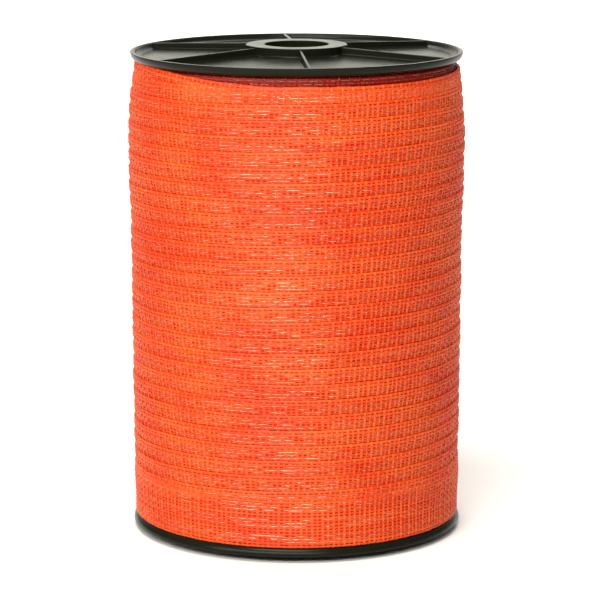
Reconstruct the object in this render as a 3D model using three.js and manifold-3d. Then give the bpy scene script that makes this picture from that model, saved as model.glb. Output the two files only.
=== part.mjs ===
// A spool of woven electric fence tape, standing on its end.
// Millimetres, +Z up, origin on the spool's axis in the face of the hub that it stands on.
// Two flanges moulded alike sit on a core tube, and the tape is wound between them in a
// helix whose turns overlap, each one lying over the lower edge of the one above it.

import * as THREE from 'three';
import { mergeVertices } from 'three/addons/utils/BufferGeometryUtils.js';
import Module from 'manifold-3d';

const wasm = await Module();
wasm.setup();

// Flange rims
const FLANGE_RADIUS = 65; // axis to the outside of the lip
const LIP_TO_LIP = 187; // between the outer edges of the two rims
const LIP_WIDTH = 1.5; // flat land on top of the rim
const RIM_HEIGHT = 3.6; // lip to the tape side of the web
const RIM_FLARE = 3.1; // how far the bowl of the rim leans outwards

// Flange webs and their ribs
const WEB_THICKNESS = 1.2;
const WEB_RISE = 1.3; // the web is coned: how much higher it is at the hub
const RIB_COUNT = 6;
const RIB_THICKNESS = 1.3;
const RIB_DROP = 0.5; // top of a rib below the hub ring
const RIB_FIRST_ANGLE = 4.5; // degrees from the front (-Y) towards +X
const RIB_ROOT = 0.6; // how deep a rib runs into the hub and the rim

// Hub ring, and the spigot that holds the flange in the core tube
const HUB_RADIUS = 19.75;
const HUB_PROUD = 2.4; // hub ring above the lip
const HUB_EDGE = 0.4; // chamfer on the ring's edges
const HUB_FILLET = 0.6; // at the foot of the hub
const BORE_RADIUS = 12.6; // takes the spindle
const SPIGOT_DEPTH = 9; // below the seat of the core tube
const SPIGOT_WALL = 1.7;
const BORE_WALL = 1.8;
const HUB_CAP = 1.8; // top of the hub ring over its hollow

// Core tube
const CORE_RADIUS = 20;
const CORE_WALL = 2;
const CORE_FIT = 0.3; // between the spigot and the tube, all round
const SEAT_MARGIN = 0.8; // flat seat past the outside of the tube

// Winding
const TAPE_WIDTH = 20;
const TAPE_THICKNESS = 0.5;
const TURN_PITCH = 6; // visible height of an overlapped turn
const END_GAP = 0.3; // between the winding and the webs
const CORE_GAP = 0.3; // between the winding and the core tube
const SHOULDER = 2; // rounded edge of the winding at each end
const END_RINGS = 5; // steps of the turns on each end face
const END_RING_DEPTH = 0.4;
// How far the outside of the winding lies inside the lip, from the upper end to the lower
const FILL_AT_TOP = 1.5;
const FILL_AT_BULGE = -0.3;
const FILL_AT_MIDDLE = 0.5;
const FILL_AT_FOOT = 1.3;
const BULGE_SHARE = 0.16; // where along the winding it is fullest
const MIDDLE_SHARE = 0.4;

// Facets
const FLANGE_SEGMENTS = 48;
const WINDING_SEGMENTS = 40;
const BOWL_STEPS = 3;
const SHOULDER_STEPS = 2;

// Levels and radii that follow from these
const lipLower = HUB_PROUD;
const lipUpper = HUB_PROUD + LIP_TO_LIP;
const outerEdge = FLANGE_RADIUS - RIM_FLARE;
const innerEdge = outerEdge - LIP_WIDTH;
const seatRadius = CORE_RADIUS + SEAT_MARGIN;
const spigotRadius = CORE_RADIUS - CORE_WALL - CORE_FIT;
const floorDepth = RIM_HEIGHT - WEB_THICKNESS;

// Height of the web's floor over the lip (negative), coned between the hub and the rim
function webFloor(radius) {
  const share = (innerEdge - radius) / (innerEdge - HUB_RADIUS);
  return -floorDepth + WEB_RISE * share;
}

const webUnderside = (radius) => webFloor(radius) - WEB_THICKNESS;
const seatLevel = webUnderside(seatRadius);

// Quarter of an ellipse from its side to its lowest point, as [radius, height] pairs
function bowl(edge, reach, depth, steps) {
  const points = [];
  for (let i = 0; i <= steps; i += 1) {
    const angle = (i / steps) * (Math.PI / 2);
    points.push([edge + reach * Math.cos(angle), -depth * Math.sin(angle)]);
  }
  return points;
}

// Turns a closed outline of [radius, height] pairs round the Z axis. It runs clockwise, seen
// with the axis on its left: up the bore, out over the top, down the outside and back.
function turned(outline, segments) {
  const loop = [...outline, outline[0]].reverse().map(([radius, height]) => new THREE.Vector2(radius, height));
  return new THREE.LatheGeometry(loop, segments).rotateX(Math.PI / 2);
}

function toSolid(geometry) {
  const bare = geometry.clone();
  bare.deleteAttribute('normal');
  bare.deleteAttribute('uv');
  const merged = mergeVertices(bare, 1e-4);
  const vertProperties = new Float32Array(merged.attributes.position.array);
  const triVerts = new Uint32Array(merged.index.array);
  return new wasm.Manifold(new wasm.Mesh({ numProp: 3, vertProperties, triVerts }));
}

function toGeometry(solid) {
  const mesh = solid.getMesh();
  const geometry = new THREE.BufferGeometry();
  geometry.setAttribute('position', new THREE.BufferAttribute(mesh.vertProperties, 3));
  geometry.setIndex(new THREE.BufferAttribute(mesh.triVerts, 1));
  geometry.computeVertexNormals();
  return geometry;
}

// Bore, hub ring, web, bowl-shaped rim and spigot of a flange. Heights are over the lip.
function flangeOutline() {
  const hubFoot = webFloor(HUB_RADIUS + HUB_FILLET);
  const rimInside = bowl(innerEdge, RIM_FLARE, floorDepth, BOWL_STEPS).reverse();
  const rimOutside = bowl(outerEdge, RIM_FLARE, RIM_HEIGHT, BOWL_STEPS);
  const spigotEnd = seatLevel - SPIGOT_DEPTH;
  const hollowTop = HUB_PROUD - HUB_CAP;
  return [
    [BORE_RADIUS, spigotEnd],
    [BORE_RADIUS, HUB_PROUD - HUB_EDGE],
    [BORE_RADIUS + HUB_EDGE, HUB_PROUD],
    [HUB_RADIUS - HUB_EDGE, HUB_PROUD],
    [HUB_RADIUS, HUB_PROUD - HUB_EDGE],
    [HUB_RADIUS, hubFoot + HUB_FILLET],
    [HUB_RADIUS + HUB_FILLET, hubFoot],
    ...rimInside,
    ...rimOutside,
    [innerEdge, -RIM_HEIGHT],
    [seatRadius, seatLevel],
    [spigotRadius, seatLevel],
    [spigotRadius, spigotEnd],
    [spigotRadius - SPIGOT_WALL, spigotEnd],
    [spigotRadius - SPIGOT_WALL, hollowTop],
    [BORE_RADIUS + BORE_WALL, hollowTop],
    [BORE_RADIUS + BORE_WALL, spigotEnd],
  ];
}

// A rib from the hub to the rim, standing on the web, its top sloping down to the lip
function ribGeometry(index) {
  const inner = HUB_RADIUS - RIB_ROOT;
  const outer = innerEdge + RIM_FLARE + RIB_ROOT;
  const side = new THREE.Shape();
  side.moveTo(inner, webFloor(inner) - WEB_THICKNESS / 2);
  side.lineTo(innerEdge, -floorDepth - WEB_THICKNESS / 2);
  side.lineTo(outer, -floorDepth / 4);
  side.lineTo(outer, -HUB_EDGE / 4);
  side.lineTo(inner, HUB_PROUD - RIB_DROP);
  const geometry = new THREE.ExtrudeGeometry(side, { depth: RIB_THICKNESS, bevelEnabled: false });
  geometry.translate(0, 0, -RIB_THICKNESS / 2);
  geometry.rotateX(Math.PI / 2);
  const degrees = RIB_FIRST_ANGLE + (index * 360) / RIB_COUNT - 90;
  return geometry.rotateZ(THREE.MathUtils.degToRad(degrees));
}

function flangeGeometry() {
  let solid = toSolid(turned(flangeOutline(), FLANGE_SEGMENTS));
  for (let i = 0; i < RIB_COUNT; i += 1) {
    solid = solid.add(toSolid(ribGeometry(i)));
  }
  return toGeometry(solid);
}

// The tube between the seats of the two flanges
function coreGeometry() {
  const low = lipLower - seatLevel;
  const high = lipUpper + seatLevel;
  const bore = CORE_RADIUS - CORE_WALL;
  return turned([[bore, low], [bore, high], [CORE_RADIUS, high], [CORE_RADIUS, low]], WINDING_SEGMENTS);
}

// Outside of the winding at a share of its height, counted down from the upper end
function windingRadius(share) {
  const smooth = THREE.MathUtils.smoothstep;
  const toBulge = (FILL_AT_BULGE - FILL_AT_TOP) * smooth(share, 0, BULGE_SHARE);
  const toMiddle = (FILL_AT_MIDDLE - FILL_AT_BULGE) * smooth(share, BULGE_SHARE, MIDDLE_SHARE);
  const toFoot = (FILL_AT_FOOT - FILL_AT_MIDDLE) * smooth(share, MIDDLE_SHARE, 1);
  return FLANGE_RADIUS - (FILL_AT_TOP + toBulge + toMiddle + toFoot);
}

// One end face from the core outwards: it follows the web, and each ring of turns is a step.
// Depths are below the lip of the flange at that end.
function windingEnd(outside) {
  const bore = CORE_RADIUS + CORE_GAP;
  const face = (radius) => webUnderside(Math.min(Math.max(radius, seatRadius), innerEdge)) - END_GAP;
  const points = [];
  for (let i = 0; i < END_RINGS; i += 1) {
    const start = THREE.MathUtils.lerp(bore, outside, i / END_RINGS);
    const end = THREE.MathUtils.lerp(bore, outside, (i + 1) / END_RINGS);
    points.push([start, -face(start) + END_RING_DEPTH], [end, -face(end)]);
  }
  return points;
}

function windingGeometry() {
  const endDepth = RIM_HEIGHT + END_GAP;
  const top = lipUpper - endDepth;
  const bottom = lipLower + endDepth;
  const shareAt = (z) => (top - z) / (top - bottom);
  const proud = TAPE_THICKNESS / 2;

  // Rounded shoulders, each from its end face to the outside
  const shoulder = (radius) => {
    const arc = bowl(radius - SHOULDER, SHOULDER, SHOULDER, SHOULDER_STEPS);
    return arc.reverse().map(([r, h]) => [r, SHOULDER + h]);
  };
  const upper = shoulder(windingRadius(0));
  const lower = shoulder(windingRadius(1));
  const outline = windingEnd(upper[0][0]).map(([r, depth]) => [r, lipUpper - depth]);
  outline.pop();
  outline.push(...upper.map(([r, depth]) => [r, top - depth]));

  // Overlapped turns from the top down, each leaning in towards its lower edge
  const start = top - SHOULDER;
  const turns = Math.max(1, Math.round((start - bottom - TAPE_WIDTH) / TURN_PITCH));
  const pitch = (start - bottom - TAPE_WIDTH) / turns;
  outline.pop();
  for (let i = 0; i < turns; i += 1) {
    const upperZ = start - i * pitch;
    const lowerZ = upperZ - pitch;
    outline.push([windingRadius(shareAt(upperZ)) + proud, upperZ]);
    outline.push([windingRadius(shareAt(lowerZ)) - proud, lowerZ]);
  }

  // The last turn shows the whole width of the tape
  const lastZ = bottom + TAPE_WIDTH;
  outline.push([windingRadius(shareAt(lastZ)) + proud, lastZ]);
  outline.push(...lower.reverse().map(([r, depth]) => [r, bottom + depth]));
  outline.pop();
  outline.push(...windingEnd(lower.at(-1)[0]).reverse().map(([r, depth]) => [r, lipLower + depth]));
  return turned(outline, WINDING_SEGMENTS);
}

const blackPlastic = () => new THREE.MeshStandardMaterial({ color: 0x1b1b16, roughness: 0.32, metalness: 0 });
const orangeTape = () => new THREE.MeshStandardMaterial({ color: 0xe6502d, roughness: 0.6, metalness: 0 });

function piece(name, geometry, material) {
  const mesh = new THREE.Mesh(geometry, material);
  mesh.name = name;
  return mesh;
}

const spool = new THREE.Group();

const upperFlange = piece('upper_flange', flangeGeometry(), blackPlastic());
upperFlange.position.z = lipUpper;
spool.add(upperFlange);

// The lower flange is the same moulding turned over
const lowerFlange = piece('lower_flange', flangeGeometry(), blackPlastic());
lowerFlange.rotation.x = Math.PI;
lowerFlange.position.z = lipLower;
spool.add(lowerFlange);

spool.add(piece('core_tube', coreGeometry(), blackPlastic()));
spool.add(piece('tape_winding', windingGeometry(), orangeTape()));

export default spool;
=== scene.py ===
"""A spool of woven electric fence tape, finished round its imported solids.

The spool's two flanges are modelled with their fillets and ribs. The tape is woven flat, as
warp and weft strands over a backing, and then wound on in overlapping turns, so the weave, the
selvages and the steps between the turns are all real geometry.
"""

import math

import bmesh
import bpy
import numpy as np
from bpy.props import FloatProperty, FloatVectorProperty, IntProperty, PointerProperty
from mathutils import Matrix, Vector


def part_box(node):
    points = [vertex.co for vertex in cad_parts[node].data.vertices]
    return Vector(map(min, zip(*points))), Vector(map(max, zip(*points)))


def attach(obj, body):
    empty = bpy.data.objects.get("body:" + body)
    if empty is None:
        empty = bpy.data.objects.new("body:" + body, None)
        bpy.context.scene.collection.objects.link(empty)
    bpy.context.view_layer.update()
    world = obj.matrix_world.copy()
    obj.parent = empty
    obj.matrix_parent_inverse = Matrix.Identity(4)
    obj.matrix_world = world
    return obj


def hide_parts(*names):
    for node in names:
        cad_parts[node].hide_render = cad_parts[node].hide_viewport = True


bl_info = {
    "name": "Electric fence tape",
    "version": (1, 0, 0),
    "blender": (4, 5, 0),
    "location": "3D View > Sidebar > Fence tape",
    "description": "Models a spool of woven fence tape and its studio",
    "category": "Object",
}

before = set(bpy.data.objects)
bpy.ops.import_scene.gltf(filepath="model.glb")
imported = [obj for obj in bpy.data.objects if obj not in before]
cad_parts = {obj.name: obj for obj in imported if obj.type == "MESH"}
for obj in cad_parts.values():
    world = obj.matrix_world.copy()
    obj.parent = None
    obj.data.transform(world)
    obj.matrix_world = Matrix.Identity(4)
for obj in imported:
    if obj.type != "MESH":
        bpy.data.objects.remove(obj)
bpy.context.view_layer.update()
MM = 0.001

# The spigot that centres a flange on the core tube, and the wall of the hub
SPIGOT_INSET = 2.3 * MM
SPIGOT_WALL = 1.7 * MM
HUB_WALL = 1.8 * MM
SEAT_MARGIN = 0.8 * MM
# The strip behind the weave
BACKING_DEPTH = 0.16 * MM
BACKING_THICKNESS = 0.3 * MM
# Angles wound before the tape leaves the upper flange: one recessed turn, then one loose turn
RECESSED_START = -4 * math.pi
LOOSE_START = -2 * math.pi

# What the solids already say, in metres
UPPER_LOW, UPPER_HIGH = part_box("upper_flange")
CORE_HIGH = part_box("core_tube")[1]
TAPE_LOW, TAPE_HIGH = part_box("tape_winding")


def eased(share):
    """A share from 0 to 1 with a soft start and end."""
    return share * share * (3 - 2 * share)


def length(name, description, millimetres):
    """A size that a user may change, given here in millimetres."""
    return FloatProperty(
        name=name, description=description, default=millimetres * MM, unit="LENGTH", precision=5
    )


def colour(name, description, default):
    """A colour that a user may change."""
    return FloatVectorProperty(
        name=name, description=description, default=default, subtype="COLOR", min=0.0, max=1.0
    )


class SpoolSettings(bpy.types.PropertyGroup):
    """Sizes and colour of the moulded spool."""

    flange_radius: length("Flange radius", "Axis to the outside of the lip", UPPER_HIGH.x / MM)
    hub_proud: length("Hub height", "Hub ring above the lip", 2.4)
    hub_radius: length("Hub radius", "Outside of the hub ring", 19.75)
    bore_radius: length("Bore radius", "Bore for the spindle", 12.6)
    lip_width: length("Lip width", "Flat land on top of the rim", 1.5)
    rim_height: length("Rim height", "Lip to the tape side of the web", 3.6)
    rim_flare: length("Rim flare", "How far the rim leans out", 3.1)
    web_thickness: length("Web thickness", "Wall of the flange", 1.2)
    web_rise: length("Web rise", "How much higher the web is at the hub", 1.3)
    rib_thickness: length("Rib thickness", "Width of a rib at its foot", 1.3)
    rib_drop: length("Rib drop", "Top of a rib below the hub ring", 0.5)
    edge_radius: length("Edge radius", "Rounding of the moulded edges", 0.35)
    foot_fillet: length("Foot fillet", "Fillet at the foot of hub and ribs", 0.7)
    rib_count: IntProperty(name="Ribs", description="Radial ribs on a flange", default=6, min=3)
    rib_angle: FloatProperty(
        name="First rib",
        description="Angle of the first rib from the front towards the right",
        default=math.radians(4.5),
        subtype="ANGLE",
    )
    plastic: colour("Plastic", "Moulded black plastic", (0.005, 0.006, 0.003))


class TapeSettings(bpy.types.PropertyGroup):
    """Weave, winding and colours of the tape."""

    tape_width: length("Tape width", "Selvage to selvage", 20.0)
    turn_pitch: length("Turn pitch", "Visible height of an overlapped turn", 5.92)
    first_drop: length("First drop", "How far the first turn lies below the flange", 4.3)
    overlap_step: length("Overlap step", "Step from one turn up to the next", 0.74)
    warp_pitch: length("Warp pitch", "Spacing of the lengthwise strands", 1.25)
    warp_width: length("Warp width", "Width of a lengthwise strand", 0.68)
    weft_pitch: length("Weft pitch", "Spacing of the cross strands", 2.1)
    weft_width: length("Weft width", "Width of a cross strand", 0.72)
    crimp: length("Crimp", "How far the strands rise over each other", 0.19)
    wire_width: length("Wire width", "Conductor wires beside the warp", 0.11)
    yarn: colour("Yarn", "Orange plastic yarn", (0.64, 0.082, 0.010))
    yarn_deep: colour("Deep yarn", "Redder and darker yarn", (0.57, 0.031, 0.002))
    cross: colour("Cross yarn", "Paler yarn of the cross strands", (0.78, 0.106, 0.018))
    cross_deep: colour("Deep cross yarn", "Its redder tone", (0.72, 0.055, 0.006))
    # Painted shadow: these two colours darken the turn under the flange for the flange's shadow
    # over it
    inner: colour("Inner yarn", "Darkened turn under the flange", (0.20, 0.005, 0.001))
    inner_shadow_deep: colour("Deep inner yarn", "Its redder tone", (0.16, 0.003, 0.001))
    # Painted shade: the lower layers in the holes of the weave are coloured darker than the yarn
    gap: colour("Gap", "Lower layers seen through the weave", (0.44, 0.010, 0.001))
    wire: colour("Wire", "Bright conductor wires", (1.0, 0.70, 0.48))


class StudioSettings(bpy.types.PropertyGroup):
    """Camera and lights."""

    distance: length("Distance", "Camera to the axis, level", 1196.0)
    height: length("Height", "Camera above the ground", 317.6)
    offset: length("Offset", "Camera to the left of the axis", 0.4)
    pitch: FloatProperty(
        name="Pitch",
        description="Camera looks down by",
        default=math.radians(10.69),
        subtype="ANGLE",
    )
    lens: FloatProperty(name="Lens", description="Focal length in millimetres", default=187.1)
    backdrop: colour("Backdrop", "Pale floor and backdrop", (0.78, 0.775, 0.74))


# Node maths


class Value:
    """A number socket of a material: sums and products on it add Math nodes."""

    def __init__(self, finish, socket):
        self.finish = finish
        self.socket = socket

    def _math(self, operation, first, second):
        node = self.finish.node("ShaderNodeMath", {"operation": operation}, {0: first, 1: second})
        return Value(self.finish, node.outputs[0])

    def __add__(self, other):
        return self._math("ADD", self, other)

    def __radd__(self, other):
        return self._math("ADD", other, self)

    def __sub__(self, other):
        return self._math("SUBTRACT", self, other)

    def __rsub__(self, other):
        return self._math("SUBTRACT", other, self)

    def __mul__(self, other):
        return self._math("MULTIPLY", self, other)

    def __rmul__(self, other):
        return self._math("MULTIPLY", other, self)

    def sine(self):
        return self._math("SINE", self, 0.0)


class Finish:
    """A procedural material on one Principled shader."""

    def __init__(self, name):
        self.material = bpy.data.materials.new(name)
        self.material.use_nodes = True
        self.tree = self.material.node_tree
        self.shader = self.tree.nodes["Principled BSDF"]

    def node(self, kind, settings, inputs):
        """Adds a node: its settings are set first, then its sockets."""
        node = self.tree.nodes.new(kind)
        for key, value in settings.items():
            setattr(node, key, value)
        for key, value in inputs.items():
            self.feed(node.inputs[key], value)
        return node

    def feed(self, socket, value):
        """Links a socket to a Value or a node's output, or sets it to a constant."""
        if isinstance(value, Value):
            value = value.socket
        if isinstance(value, bpy.types.NodeSocket):
            self.tree.links.new(value, socket)
        else:
            socket.default_value = value

    def object_point(self):
        return self.node("ShaderNodeTexCoord", {}, {}).outputs["Object"]

    def tape_point(self):
        return self.node("ShaderNodeUVMap", {"uv_map": "tape"}, {}).outputs["UV"]

    def stretched(self, point, scale):
        mapping = self.node("ShaderNodeMapping", {}, {"Vector": point, "Scale": scale})
        return mapping.outputs["Vector"]

    def noise(self, point, scale, detail=3.0, roughness=0.5):
        node = self.node(
            "ShaderNodeTexNoise",
            {},
            {"Vector": point, "Scale": scale, "Detail": detail, "Roughness": roughness},
        )
        return Value(self, node.outputs["Fac"])

    def ramp(self, value, low, high):
        """0 at low, 1 at high and smooth between."""
        settings = {"interpolation_type": "SMOOTHSTEP"}
        node = self.node(
            "ShaderNodeMapRange", settings, {"Value": value, "From Min": low, "From Max": high}
        )
        return Value(self, node.outputs["Result"])

    def mix(self, factor, first, second):
        """A colour between two colours."""
        node = self.node("ShaderNodeMix", {"data_type": "RGBA"}, {"Factor": factor})
        self.feed(node.inputs[6], first)
        self.feed(node.inputs[7], second)
        return node.outputs[2]

    def bump(self, height, distance, strength):
        node = self.node(
            "ShaderNodeBump", {}, {"Height": height, "Distance": distance, "Strength": strength}
        )
        return node.outputs["Normal"]

    def set(self, **sockets):
        """Sets or links the shader's sockets, named with underscores for spaces."""
        for key, value in sockets.items():
            self.feed(self.shader.inputs[key.replace("_", " ")], value)


def rgba(values):
    return (*values, 1.0)


def black_plastic(settings):
    """Satin black moulding: faint flow marks, handling smudges and fine scuffs."""
    finish = Finish("black_plastic")
    point = finish.object_point()
    flow = finish.noise(finish.stretched(point, (60.0, 60.0, 220.0)), 1.0, 4.0)
    smudge = finish.ramp(finish.noise(point, 55.0, 5.0, 0.6), 0.42, 0.72)
    grain = finish.noise(point, 2600.0, 2.0)
    scratches = finish.noise(finish.stretched(point, (900.0, 120.0, 120.0)), 1.0, 2.0)
    scuff = finish.ramp(scratches, 0.66, 0.74)
    pale = tuple(2.4 * part + 0.003 for part in settings.plastic)
    dusty = finish.mix(flow * 0.3 + scuff * 0.25, rgba(settings.plastic), rgba(pale))
    finish.set(
        Base_Color=dusty,
        Roughness=0.21 + smudge * 0.06 + grain * 0.02,
        Normal=finish.bump(flow * 0.6 + grain * 0.08, 0.0001, 0.2),
        IOR=1.2,
    )
    return finish.material


def yarn(name, bright, deep):
    """Plastic yarn: tone from strand to strand, drawn fibres and a gloss that comes and goes."""
    finish = Finish(name)
    tape = finish.tape_point()
    drawn = finish.noise(finish.stretched(tape, (260.0, 5200.0, 1.0)), 1.0, 3.0)
    strand = finish.noise(finish.stretched(tape, (26.0, 700.0, 1.0)), 1.0, 2.0)
    cloud = finish.noise(finish.object_point(), 38.0, 3.0)
    tone = finish.ramp(strand * 0.6 + cloud * 0.4, 0.36, 0.66)
    patches = finish.noise(finish.stretched(tape, (330.0, 1500.0, 1.0)), 1.0, 1.0)
    gloss = finish.ramp(patches, 0.45, 0.62)
    finish.set(
        Base_Color=finish.mix(tone, rgba(deep), rgba(bright)),
        Roughness=0.40 + drawn * 0.12 - gloss * 0.24,
        Normal=finish.bump(drawn, 0.00006, 0.5),
        IOR=1.32,
    )
    return finish.material


def backing(settings):
    """Lower layers of the tape, seen through the weave: crossed strands, with painted shade in the
    gaps between them.
    """
    finish = Finish("lower_layers_and_gap_shade")
    tape = finish.tape_point()
    parts = finish.node("ShaderNodeSeparateXYZ", {}, {"Vector": tape})
    along = Value(finish, parts.outputs["X"])
    across = Value(finish, parts.outputs["Y"])
    warp = (across * (2 * math.pi / settings.warp_pitch) + 1.9).sine() * 0.5 + 0.5
    weft = (along * (2 * math.pi / settings.weft_pitch) + 1.2).sine() * 0.5 + 0.5
    cloud = finish.noise(finish.object_point(), 420.0, 3.0)
    strands = finish.ramp(warp * 0.45 + weft * 0.35 + cloud * 0.4, 0.35, 0.95)
    finish.set(
        # The gaps between the strands take the dark gap colour, which is painted shade
        Base_Color=finish.mix(strands, rgba(settings.gap), rgba(settings.yarn_deep)),
        Roughness=0.62 - strands * 0.15,
        Normal=finish.bump(strands, 0.0003, 0.8),
        IOR=1.2,
    )
    return finish.material


def bright_wire(settings):
    """Fine conductor wire, a little dulled by handling."""
    finish = Finish("bright_wire")
    dull = finish.noise(finish.object_point(), 700.0, 2.0)
    finish.set(
        Base_Color=rgba(settings.wire),
        Metallic=0.85,
        Roughness=0.32 + dull * 0.24,
    )
    return finish.material


def painted_backdrop(settings):
    """Pale seamless floor with the faintest unevenness."""
    finish = Finish("pale_backdrop")
    cloud = finish.noise(finish.object_point(), 1.4, 2.0)
    darker = tuple(0.985 * part for part in settings.backdrop)
    finish.set(
        Base_Color=finish.mix(cloud, rgba(settings.backdrop), rgba(darker)),
        Roughness=0.75,
    )
    return finish.material


# Mesh helpers


def add_object(name, mesh, material):
    obj = bpy.data.objects.new(name, mesh)
    bpy.context.scene.collection.objects.link(obj)
    mesh.materials.clear()
    mesh.materials.append(material)
    return obj


def mesh_from(bm, name):
    mesh = bpy.data.meshes.new(name)
    bm.to_mesh(mesh)
    bm.free()
    return mesh


def smooth(mesh, degrees):
    mesh.shade_smooth()
    mesh.set_sharp_from_angle(angle=math.radians(degrees))


def arc(centre, reach, start, end, steps):
    """Points on an ellipse from one angle in degrees to another, as (radius, height) pairs."""
    points = []
    for i in range(steps + 1):
        angle = math.radians(start + (end - start) * i / steps)
        across = centre[0] + reach[0] * math.cos(angle)
        points.append((across, centre[1] + reach[1] * math.sin(angle)))
    return points


def belongs(piece, slot_name, *nodes):
    """A piece of the one body, and the solids that it stands for, which are hidden. The slot name
    of its finish is not used.
    """
    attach(piece, "root")
    if nodes:
        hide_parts(*nodes)


# Flanges


def inner_edge(spool):
    return spool.flange_radius - spool.rim_flare - spool.lip_width


def web_floor(spool, radius):
    """Height of the coned web over the lip."""
    share = (inner_edge(spool) - radius) / (inner_edge(spool) - spool.hub_radius)
    return -(spool.rim_height - spool.web_thickness) + spool.web_rise * share


def flange_outline(spool):
    """The flange's section as (radius, height over the lip), clockwise from the bore."""
    edge = spool.edge_radius
    fillet = spool.foot_fillet
    rim_in = inner_edge(spool)
    rim_out = rim_in + spool.lip_width
    floor = spool.rim_height - spool.web_thickness
    foot = web_floor(spool, spool.hub_radius + fillet)
    seat = CORE_HIGH.z - lip_upper(spool)
    spigot_end = UPPER_LOW.z - lip_upper(spool)
    spigot = CORE_HIGH.x - SPIGOT_INSET
    cap = spool.hub_proud - HUB_WALL
    outline = [(spool.bore_radius, spigot_end)]
    outline += arc((spool.bore_radius + edge, spool.hub_proud - edge), (edge, edge), 180, 90, 5)
    outline += arc((spool.hub_radius - edge, spool.hub_proud - edge), (edge, edge), 90, 0, 5)
    outline += arc((spool.hub_radius + fillet, foot + fillet), (fillet, fillet), 180, 270, 6)
    for share in (0.2, 0.4, 0.6, 0.8):
        radius = spool.hub_radius + fillet + share * (rim_in - spool.hub_radius - fillet)
        outline.append((radius, web_floor(spool, radius)))
    outline += arc((rim_in, 0.0), (spool.rim_flare - edge, floor), 270, 350, 9)
    outline += arc((rim_in + spool.rim_flare + edge, -edge), (edge, edge), 180, 90, 4)
    outline += arc((spool.flange_radius - edge, -edge), (edge, edge), 90, 0, 4)
    outline += arc((rim_out, -edge), (spool.rim_flare, spool.rim_height - edge), -6, -90, 14)
    outline += [
        (rim_in, -spool.rim_height),
        (CORE_HIGH.x + SEAT_MARGIN, seat),
        (spigot, seat),
        (spigot, spigot_end),
        (spigot - SPIGOT_WALL, spigot_end),
        (spigot - SPIGOT_WALL, cap),
        (spool.bore_radius + HUB_WALL, cap),
        (spool.bore_radius + HUB_WALL, spigot_end),
    ]
    return outline


def lip_upper(spool):
    return UPPER_HIGH.z - spool.hub_proud


def turned(outline, steps):
    """A closed outline of (radius, height) pairs spun once round the Z axis."""
    bm = bmesh.new()
    ring = [bm.verts.new((radius, 0.0, height)) for radius, height in outline]
    edges = [bm.edges.new((ring[i - 1], ring[i])) for i in range(len(ring))]
    bmesh.ops.spin(
        bm,
        geom=ring + edges,
        cent=(0, 0, 0),
        axis=(0, 0, 1),
        angle=2 * math.pi,
        steps=steps,
        use_merge=True,
    )
    bmesh.ops.recalc_face_normals(bm, faces=bm.faces)
    return bm


def rib_section(spool, radius, top):
    """Section of a rib across its length, with flared feet let into the web."""
    half = spool.rib_thickness / 2
    fillet = spool.foot_fillet
    crown = spool.edge_radius
    floor = web_floor(spool, radius)
    sunk = floor - 0.4 * MM
    right = arc((half + fillet, floor + fillet), (fillet, fillet), 270, 180, 5)
    right += arc((half - crown * 1.3, top - crown), (crown, crown), 0, 90, 4)
    left = [(-across, height) for across, height in reversed(right)]
    section = [(half + fillet, sunk)] + right + left + [(-half - fillet, sunk)]
    return [(radius, across, height) for across, height in section]


def rib(spool, angle):
    """One rib, from inside the hub wall to inside the rim."""
    bm = bmesh.new()
    inner = rib_section(spool, spool.hub_radius - 0.6 * MM, spool.hub_proud - spool.rib_drop)
    outer = rib_section(spool, spool.flange_radius - 1.2 * MM, -0.12 * MM)
    loops = []
    for section in (inner, outer):
        verts = [bm.verts.new(point) for point in section]
        loops += [bm.edges.new((verts[i - 1], verts[i])) for i in range(len(verts))]
        bm.faces.new(verts)
    bmesh.ops.bridge_loops(bm, edges=loops)
    bmesh.ops.recalc_face_normals(bm, faces=bm.faces)
    turn = Matrix.Rotation(angle - math.pi / 2, 3, "Z")
    bmesh.ops.rotate(bm, cent=(0, 0, 0), matrix=turn, verts=bm.verts)
    return bm


def flange(spool, name, material):
    """A whole flange with its lip at height 0 and its outside up."""
    body = add_object(name, mesh_from(turned(flange_outline(spool), 192), name), material)
    ribs = bmesh.new()
    for i in range(spool.rib_count):
        one = mesh_from(rib(spool, spool.rib_angle + 2 * math.pi * i / spool.rib_count), "rib")
        ribs.from_mesh(one)
        bpy.data.meshes.remove(one)
    tool = add_object("ribs", mesh_from(ribs, "ribs"), material)
    union = body.modifiers.new("ribs", "BOOLEAN")
    union.operation = "UNION"
    union.solver = "EXACT"
    union.object = tool
    depsgraph = bpy.context.evaluated_depsgraph_get()
    merged = bpy.data.meshes.new_from_object(body.evaluated_get(depsgraph))
    body.modifiers.clear()
    body.data = merged
    bpy.data.objects.remove(tool)
    return body


class FENCETAPE_OT_flanges(bpy.types.Operator):
    """Model both flanges, with their hub rings, ribs and bowl-shaped rims"""

    bl_idname = "fence_tape.flanges"
    bl_label = "Flanges"

    def execute(self, context):
        spool = context.scene.fence_spool
        material = black_plastic(spool)
        turned_over = Matrix.Rotation(math.pi, 4, "X")
        places = {
            "upper_flange": Matrix.Translation((0, 0, lip_upper(spool))),
            "lower_flange": Matrix.Translation((0, 0, spool.hub_proud)) @ turned_over,
        }
        for node, place in places.items():
            piece = flange(spool, "moulded_" + node, material)
            piece.data.transform(place)
            smooth(piece.data, 35)
            weighted = piece.modifiers.new("even_shading", "WEIGHTED_NORMAL")
            weighted.keep_sharp = True
            belongs(piece, "spool_plastic", node)
        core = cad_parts["core_tube"]
        core.data.materials.clear()
        core.data.materials.append(material)
        return {"FINISHED"}


# Winding


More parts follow.
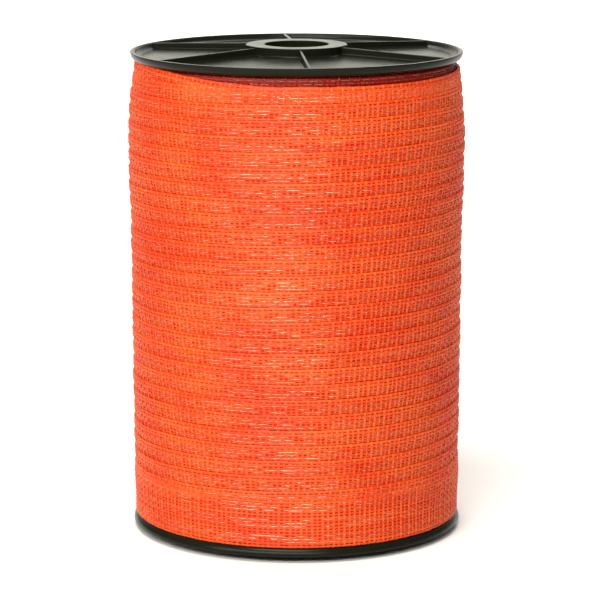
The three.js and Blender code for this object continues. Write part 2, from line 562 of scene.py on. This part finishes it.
class Winding:
    """Where the tape lies: from flat coordinates on the tape to points on the roll.

    Flat coordinates are the length along the tape, the distance across it from its upper
    selvage and the height out of it. The tape starts at the upper flange.
    """

    # Azimuth where the tape last touches the upper flange, from the front towards the right
    START = math.radians(-76.0)
    # Angle over which the loose turn's edge drops away from the flange
    SETTLING = 1.25
    # The recessed turn lies this far in
    RECESS = 1.3 * MM
    # Both of these turns are rounded off towards the flange, over the shoulder's width
    SHOULDER = 2.4 * MM
    RECESSED_ROUNDING = 1.5 * MM
    LOOSE_ROUNDING = 0.9 * MM
    # The tape is drawn in this far at the lower flange, over the foot's height
    FOOT_HEIGHT = 1.2 * MM
    FOOT_DEPTH = 1.1 * MM
    # The free end lies past the last turn by this angle and is lifted over it
    SPARE_END = math.radians(20.0)
    END_LIFT = 0.55 * MM
    # Millimetres that the outside lies inside the lip, by share of the height from the top
    FILL = (
        (0.0, 2.3),
        (0.05, 1.2),
        (0.1, 0.2),
        (0.14, -0.3),
        (0.24, -0.3),
        (0.36, 0.45),
        (0.7, 0.8),
        (1.0, 1.35),
    )
    # Height out of the tape over one visible turn, as shares of the pitch and of the step
    PROFILE = (
        (0.0, 0.22),
        (0.10, 0.42),
        (0.30, 0.42),
        (0.62, 0.10),
        (0.86, -0.26),
        (1.0, -0.42),
        (1.1, -0.5),
    )

    def __init__(self, spool, tape):
        self.lip = spool.flange_radius
        self.radius = self.lip - 0.6 * MM
        self.top = TAPE_HIGH.z
        self.bottom = TAPE_LOW.z
        self.pitch = tape.turn_pitch
        self.width = tape.tape_width
        self.step = tape.overlap_step
        self.drop = tape.first_drop
        self.turns = (self.top - self.bottom - self.width) / self.pitch + 1.0
        self.last = 2 * math.pi * self.turns
        self.end = self.last + self.SPARE_END

    def angle_at(self, along):
        """Angle wound since the tape left the upper flange."""
        return along / self.radius + RECESSED_START

    def length_of(self, angle):
        return (angle - RECESSED_START) * self.radius

    def selvage(self, angle):
        """Height of the upper selvage at an angle wound, with the tape's small wander."""
        falling = np.clip(angle, 0.0, self.last - 2 * math.pi)
        before = eased(np.clip(-angle / self.SETTLING, 0.0, 1.0))
        height = self.top - self.drop * before - self.pitch * falling / (2 * math.pi)
        sway = 0.30 * np.sin(0.96 * angle + 0.6) + 0.15 * np.sin(2.05 * angle + 2.0)
        sway += 0.10 * np.sin(3.07 * angle) + 0.04 * np.sin(11.7 * angle + 1.0)
        free = np.clip(abs(angle) / 2.0, 0, 1) * np.clip((self.last - math.tau - angle) / 6.0, 0, 1)
        return np.where(angle < LOOSE_START, self.top, height + sway * MM * free)

    def outside(self, height, angle):
        """Radius of the roll under the tape."""
        share = (self.top - height) / (self.top - self.bottom)
        fill = np.interp(share, [s for s, _ in self.FILL], [f for _, f in self.FILL])
        uneven = 0.10 * np.sin(2 * angle + 60 * share) + 0.08 * np.sin(3.1 * angle + 23 * share)
        return self.lip - (fill + uneven) * MM

    def wind(self, along, across, out):
        """Points on the roll for flat coordinates, as three arrays."""
        angle = self.angle_at(along)
        height = self.selvage(angle) - across
        shares = [share for share, _ in self.PROFILE]
        rises = [rise for _, rise in self.PROFILE]
        lean = self.step * np.interp(across / self.pitch, shares, rises)
        final = np.clip((angle - self.last + math.tau) / 0.6, 0.0, 1.0)
        edge = np.clip(across / (0.6 * MM), 0.4, 1.0)
        flat = self.step * (0.5 - 0.35 * across / self.width) * edge
        lean = lean * (1 - final) + flat * final
        tuck = np.clip((angle - self.last + math.radians(12)) / math.radians(24), 0, 1)
        lift = self.END_LIFT * eased(tuck)
        foot = np.clip((self.bottom + self.FOOT_HEIGHT - height) / self.FOOT_HEIGHT, 0, 1)
        radius = self.outside(height, angle) + lean + lift + out
        shoulder = np.clip(1 - across / self.SHOULDER, 0, 1)
        radius -= foot * foot * self.FOOT_DEPTH
        loose = np.clip(-angle / self.SETTLING, 0, 1) * (angle > LOOSE_START)
        radius -= loose * shoulder * shoulder * self.LOOSE_ROUNDING
        recessed = self.RECESS + self.RECESSED_ROUNDING * shoulder * shoulder
        radius -= np.where(angle < LOOSE_START, recessed, 0.0)
        turn = self.START - angle
        return radius * np.sin(turn), -radius * np.cos(turn), height


def wind_mesh(mesh, winding):
    """Winds a flat mesh on, and keeps its flat coordinates as the UV map named tape."""
    flat = np.empty(len(mesh.vertices) * 3)
    mesh.vertices.foreach_get("co", flat)
    flat = flat.reshape(-1, 3)
    corner = np.empty(len(mesh.loops), dtype=np.int32)
    mesh.loops.foreach_get("vertex_index", corner)
    while mesh.uv_layers:
        mesh.uv_layers.remove(mesh.uv_layers[0])
    layer = mesh.uv_layers.new(name="tape")
    layer.uv.foreach_set("vector", flat[corner, :2].ravel().astype(np.float32))
    points = np.stack(winding.wind(flat[:, 0], flat[:, 1], flat[:, 2]), axis=1)
    mesh.vertices.foreach_set("co", points.ravel())
    mesh.update()


def recalculated(mesh):
    """The same mesh with its faces pointing out."""
    bm = bmesh.new()
    bm.from_mesh(mesh)
    bmesh.ops.recalc_face_normals(bm, faces=bm.faces)
    bm.to_mesh(mesh)
    bm.free()


def strands(name, lines, width, flatness, sides, winding, material):
    """Flattened tubes along flat lines, wound on as one piece."""
    curve = bpy.data.curves.new(name, "CURVE")
    curve.dimensions = "3D"
    curve.twist_mode = "Z_UP"
    curve.bevel_depth = width / 2
    curve.bevel_resolution = (sides - 4) // 2
    curve.use_fill_caps = True
    for line in lines:
        spline = curve.splines.new("POLY")
        spline.points.add(len(line) - 1)
        ones = np.ones(len(line))
        stretched = np.column_stack((line[:, 0], line[:, 1], line[:, 2] / flatness, ones))
        spline.points.foreach_set("co", stretched.ravel())
        spline.points.foreach_set("radius", line[:, 3])
    source = bpy.data.objects.new(name, curve)
    bpy.context.scene.collection.objects.link(source)
    mesh = bpy.data.meshes.new_from_object(source)
    bpy.data.objects.remove(source)
    bpy.data.curves.remove(curve)
    mesh.name = name
    mesh.transform(Matrix.Diagonal((1.0, 1.0, flatness, 1.0)))
    wind_mesh(mesh, winding)
    recalculated(mesh)
    smooth(mesh, 75)
    piece = add_object(name, mesh, material)
    belongs(piece, "woven_tape", "tape_winding")
    return piece


def crossings(winding, tape, start, end):
    """Numbers of the cross strands between two angles wound, with one shared at each end."""
    first = math.floor(winding.length_of(start) / tape.weft_pitch)
    last = math.floor(winding.length_of(end) / tape.weft_pitch)
    return np.arange(first, last + 1)


def strand_offsets(tape, width):
    """Distances of the lengthwise strands from the selvage, within a width."""
    count = int((width - tape.warp_width) / tape.warp_pitch + 1.01)
    return [tape.warp_width / 2 + i * tape.warp_pitch for i in range(count)]


def warp_lines(winding, tape, start, end, width):
    """Lengthwise strands that rise and dip by turns over the cross strands."""
    lines = []
    wefts = crossings(winding, tape, start, end)
    chance = np.random.default_rng(int(winding.length_of(start) * 1000))
    for i, offset in enumerate(strand_offsets(tape, width)):
        count = len(wefts)
        over = np.where((wefts + i) % 2 == 0, 1.0, -1.0)
        rise = tape.crimp * over * (1 + chance.normal(0.0, 0.28, count))
        aside = offset + chance.normal(0.0, 0.055 * MM, count)
        selvage = i < 2 or offset > tape.tape_width - 2.2 * tape.warp_pitch
        thick = (1.42 if selvage else 0.98) + chance.normal(0.0, 0.10, count)
        slip = wefts * tape.weft_pitch + chance.normal(0.0, 0.1 * MM, count)
        slip[0], slip[-1] = wefts[0] * tape.weft_pitch, wefts[-1] * tape.weft_pitch
        lines.append(np.column_stack((slip, aside, rise, thick)))
    return lines


def weft_lines(winding, tape, start, end, width):
    """Cross strands over and under the lengthwise ones, turned back at the selvage."""
    offsets = strand_offsets(tape, width)
    across = np.array([0.1 * MM] + offsets + [offsets[-1] + 0.75 * tape.warp_pitch])
    chance = np.random.default_rng(int(winding.length_of(start) * 1000) + 1)
    lines = []
    for number in crossings(winding, tape, start, end)[:-1]:
        dips = np.where((number + np.arange(len(offsets))) % 2 == 0, -tape.crimp, tape.crimp)
        rise = np.concatenate(([0.02 * MM], dips, [-tape.crimp])) * (1 + chance.normal(0.0, 0.2))
        rise += 0.07 * MM if number % 2 else -0.02 * MM
        thick = (1.4 if number % 2 else 0.95) * np.ones(len(across)) + chance.normal(0.0, 0.09)
        slant = 0.12 * MM * math.sin(number * 0.37)
        lean = chance.normal(0.0, 0.07 * MM) + slant * np.linspace(-1, 1, len(across))
        lines.append(np.column_stack((number * tape.weft_pitch + lean, across, rise, thick)))
    return lines


def wire_lines(winding, tape, start, end, width):
    """Fine wires beside some lengthwise strands, which float over some cross strands."""
    wefts = crossings(winding, tape, start, end)
    chance = np.random.default_rng(int(winding.length_of(start) * 1000) + 2)
    lines = []
    for i, offset in enumerate(strand_offsets(tape, width)):
        if i % 5 not in (1, 2, 3):
            continue
        floats = ((wefts + i) % 2 == 0) & (chance.random(len(wefts)) < 0.66)
        floats |= chance.random(len(wefts)) < 0.10
        rise = np.where(floats, 1.5 * tape.crimp, -1.5 * tape.crimp)
        beside = np.full(len(wefts), offset + 0.45 * tape.warp_pitch)
        lines.append(np.column_stack((wefts * tape.weft_pitch, beside, rise, np.ones(len(wefts)))))
    return lines


def backing_strip(name, winding, start, end, width, steps_per_turn, rows, material):
    """A thin closed strip under the weave, wound on with it."""
    long_side = winding.length_of(end) - winding.length_of(start)
    columns = int(steps_per_turn * (end - start) / (2 * math.pi))
    bm = bmesh.new()
    bmesh.ops.create_grid(bm, x_segments=columns, y_segments=rows, size=0.5)
    bmesh.ops.scale(bm, vec=(long_side, width, 1.0), verts=bm.verts)
    shift = Vector((winding.length_of(start) + long_side / 2, width / 2, -BACKING_DEPTH))
    bmesh.ops.translate(bm, vec=shift, verts=bm.verts)
    bmesh.ops.solidify(bm, geom=bm.faces, thickness=BACKING_THICKNESS)
    mesh = mesh_from(bm, name)
    high = max(vert.co.z for vert in mesh.vertices)
    mesh.transform(Matrix.Translation((0, 0, -BACKING_DEPTH - high)))
    wind_mesh(mesh, winding)
    recalculated(mesh)
    smooth(mesh, 50)
    piece = add_object(name, mesh, material)
    belongs(piece, "woven_tape", "tape_winding")
    return piece


class FENCETAPE_OT_layers(bpy.types.Operator):
    """Model the wound layers under the outer turns, with their edges on the ends"""

    bl_idname = "fence_tape.layers"
    bl_label = "Wound layers"

    def execute(self, context):
        winding = Winding(context.scene.fence_spool, context.scene.fence_tape)
        core = CORE_HIGH.x + 0.3 * MM
        sunk = 1.1 * MM
        heights = np.linspace(winding.top, winding.bottom, 60)
        skin = winding.outside(heights, np.zeros(60)) - sunk
        skin[:3] -= winding.RECESS + 0.8 * MM
        outside = list(zip(skin.tolist(), heights.tolist()))
        outline = self.with_rings(outside, core, winding)
        mesh = mesh_from(turned(outline, 180), "wound_layers")
        smooth(mesh, 40)
        layer = mesh.uv_layers.new(name="tape")
        uv = []
        for loop in mesh.loops:
            co = mesh.vertices[loop.vertex_index].co
            uv += [math.atan2(co.x, -co.y) * winding.radius, winding.top - co.z]
        layer.uv.foreach_set("vector", uv)
        # The wound layers carry the same painted shade in the gaps as the strips under the weave
        piece = add_object("wound_layers", mesh, backing(context.scene.fence_tape))
        belongs(piece, "woven_tape", "tape_winding")
        return {"FINISHED"}

    def with_rings(self, outside, core, winding):
        """The layers' outside as a closed outline, with their stepped edges on both ends."""
        outer = outside[0][0]
        rings = 18
        rise = 0.9 * MM
        top = []
        for i in range(rings):
            radius = core + (outer - core) * i / rings
            next_radius = core + (outer - core) * (i + 1) / rings
            cone = rise * (1 - i / rings)
            high = winding.top + cone
            top += [(radius, high - 0.35 * MM), (next_radius, high - 0.05 * MM)]
        centre = (winding.top + winding.bottom) / 2
        low = [(radius, 2 * centre - height) for radius, height in reversed(top)]
        return top + outside + low


class FENCETAPE_OT_weave(bpy.types.Operator):
    """Weave the outer turns of the tape and wind them on"""

    bl_idname = "fence_tape.weave"
    bl_label = "Woven turns"

    def execute(self, context):
        tape = context.scene.fence_tape
        winding = Winding(context.scene.fence_spool, tape)
        thread = yarn("orange_yarn", tape.yarn, tape.yarn_deep)
        paler = yarn("cross_yarn", tape.cross, tape.cross_deep)
        # Yarn with painted shadow for the turn under the flange
        shadow_painted_yarn = yarn("inner_yarn_painted_shadow", tape.inner, tape.inner_shadow_deep)
        # Lower layers, with painted shade in the weave's holes
        under = backing(tape)
        metal = bright_wire(tape)
        full = winding.last - 2 * math.pi
        shown = winding.pitch * 1.04
        flush, start = RECESSED_START, LOOSE_START
        backing_strip("backing_under_turn", winding, flush, start, shown, 96, 4, under)
        backing_strip("backing_turns", winding, start, full, shown, 84, 3, under)
        backing_strip("backing_last_turn", winding, full, winding.end, winding.width, 96, 8, under)
        cuts = np.linspace(start, full, 4)
        parts = {
            "under_turn": (flush, start, shown),
            "upper": (cuts[0], cuts[1], shown),
            "middle": (cuts[1], cuts[2], shown),
            "lower": (cuts[2], cuts[3], shown),
            "last_turn": (full, winding.end, winding.width),
        }
        for name, part in parts.items():
            part = (winding, tape, *part)
            # The turn under the flange takes the yarn with painted shadow
            warp_yarn, weft_yarn = (shadow_painted_yarn, shadow_painted_yarn) if name == "under_turn" else (thread, paler)
            strands("warp_" + name, warp_lines(*part), tape.warp_width, 0.5, 6, winding, warp_yarn)
            strands("weft_" + name, weft_lines(*part), tape.weft_width, 0.62, 4, winding, weft_yarn)
        wires = wire_lines(winding, tape, start, full, shown)
        wires += wire_lines(winding, tape, full, winding.end, winding.width)
        wires += wire_lines(winding, tape, flush, start, shown)
        strands("conductor_wires", wires, tape.wire_width, 0.9, 4, winding, metal)
        return {"FINISHED"}


# Studio


def area_light(name, place, target, size, power, tint):
    data = bpy.data.lights.new(name, "AREA")
    data.shape = "RECTANGLE"
    data.size, data.size_y = size
    data.energy = power
    data.color = tint
    light = bpy.data.objects.new(name, data)
    bpy.context.scene.collection.objects.link(light)
    light.location = place
    light.rotation_euler = (Vector(target) - Vector(place)).to_track_quat("-Z", "Y").to_euler()
    return light


class FENCETAPE_OT_studio(bpy.types.Operator):
    """Set the pale floor, the soft lights and the camera"""

    bl_idname = "fence_tape.studio"
    bl_label = "Studio"

    def execute(self, context):
        studio = context.scene.fence_studio
        self.backdrop(studio)
        self.lights()
        self.world()
        self.camera(context, studio)
        return {"FINISHED"}

    def backdrop(self, studio):
        """A floor that sweeps up behind the object."""
        bm = bmesh.new()
        sweep = arc((3.0, 1.5), (1.5, 1.5), 270, 360, 16)
        profile = [(-4.0, 0.0)] + sweep + [(4.5, 4.0)]
        verts = [bm.verts.new((-5.0, depth, height)) for depth, height in profile]
        edges = [bm.edges.new(pair) for pair in zip(verts, verts[1:])]
        moved = bmesh.ops.extrude_edge_only(bm, edges=edges)["geom"]
        far = [part for part in moved if isinstance(part, bmesh.types.BMVert)]
        bmesh.ops.translate(bm, vec=(10.0, 0.0, 0.0), verts=far)
        mesh = mesh_from(bm, "backdrop")
        mesh.shade_smooth()
        add_object("backdrop", mesh, painted_backdrop(studio))

    def lights(self):
        middle = (0.0, 0.0, 0.1)
        area_light("key", (-0.22, -0.68, 1.7), middle, (0.9, 0.7), 26.5, (1.0, 0.99, 0.97))
        area_light("window", (-0.30, -1.6, 1.0), middle, (1.7, 0.4), 32.0, (1.0, 0.95, 0.88))
        area_light("side", (-1.4, -1.15, 1.0), middle, (0.7, 1.0), 14.0, (1.0, 0.97, 0.92))
        area_light("floor", (0.0, 1.6, 1.6), (0.0, 1.6, 0.0), (2.4, 1.6), 52.0, (1.0, 1.0, 1.0))
        area_light("wall", (0.0, 2.2, 1.9), (0.0, 4.3, 0.6), (3.0, 0.8), 74.0, (1.0, 0.99, 0.88))

    def world(self):
        world = bpy.data.worlds.new("studio")
        bpy.context.scene.world = world
        world.use_nodes = True
        background = world.node_tree.nodes["Background"]
        background.inputs["Color"].default_value = (1.0, 1.0, 1.0, 1.0)
        background.inputs["Strength"].default_value = 0.2

    def camera(self, context, studio):
        data = bpy.data.cameras.new("camera")
        data.lens = studio.lens
        data.sensor_width = 36.0
        data.clip_end = 50.0
        camera = bpy.data.objects.new("camera", data)
        context.scene.collection.objects.link(camera)
        camera.location = (-studio.offset, -studio.distance, studio.height)
        camera.rotation_euler = (math.pi / 2 - studio.pitch, 0.0, 0.0)
        context.scene.camera = camera
        context.scene.view_settings.view_transform = "Standard"


class FENCETAPE_PT_panel(bpy.types.Panel):
    """Everything that the add-on makes"""

    bl_idname = "FENCETAPE_PT_panel"
    bl_label = "Fence tape"
    bl_space_type = "VIEW_3D"
    bl_region_type = "UI"
    bl_category = "Fence tape"

    def draw(self, context):
        for operator in OPERATORS:
            self.layout.operator(operator.bl_idname)
        scene = context.scene
        for settings in (scene.fence_spool, scene.fence_tape, scene.fence_studio):
            box = self.layout.box()
            for key in settings.__annotations__:
                box.prop(settings, key)


SETTINGS = (SpoolSettings, TapeSettings, StudioSettings)
OPERATORS = (FENCETAPE_OT_flanges, FENCETAPE_OT_layers, FENCETAPE_OT_weave, FENCETAPE_OT_studio)
CLASSES = (*SETTINGS, *OPERATORS, FENCETAPE_PT_panel)


def register():
    for cls in CLASSES:
        bpy.utils.register_class(cls)
    bpy.types.Scene.fence_spool = PointerProperty(type=SpoolSettings)
    bpy.types.Scene.fence_tape = PointerProperty(type=TapeSettings)
    bpy.types.Scene.fence_studio = PointerProperty(type=StudioSettings)


def unregister():
    del bpy.types.Scene.fence_studio
    del bpy.types.Scene.fence_tape
    del bpy.types.Scene.fence_spool
    for cls in reversed(CLASSES):
        bpy.utils.unregister_class(cls)


def main():
    register()
    bpy.ops.fence_tape.flanges()
    bpy.ops.fence_tape.layers()
    bpy.ops.fence_tape.weave()
    bpy.ops.fence_tape.studio()


if __name__ == "__main__":
    main()
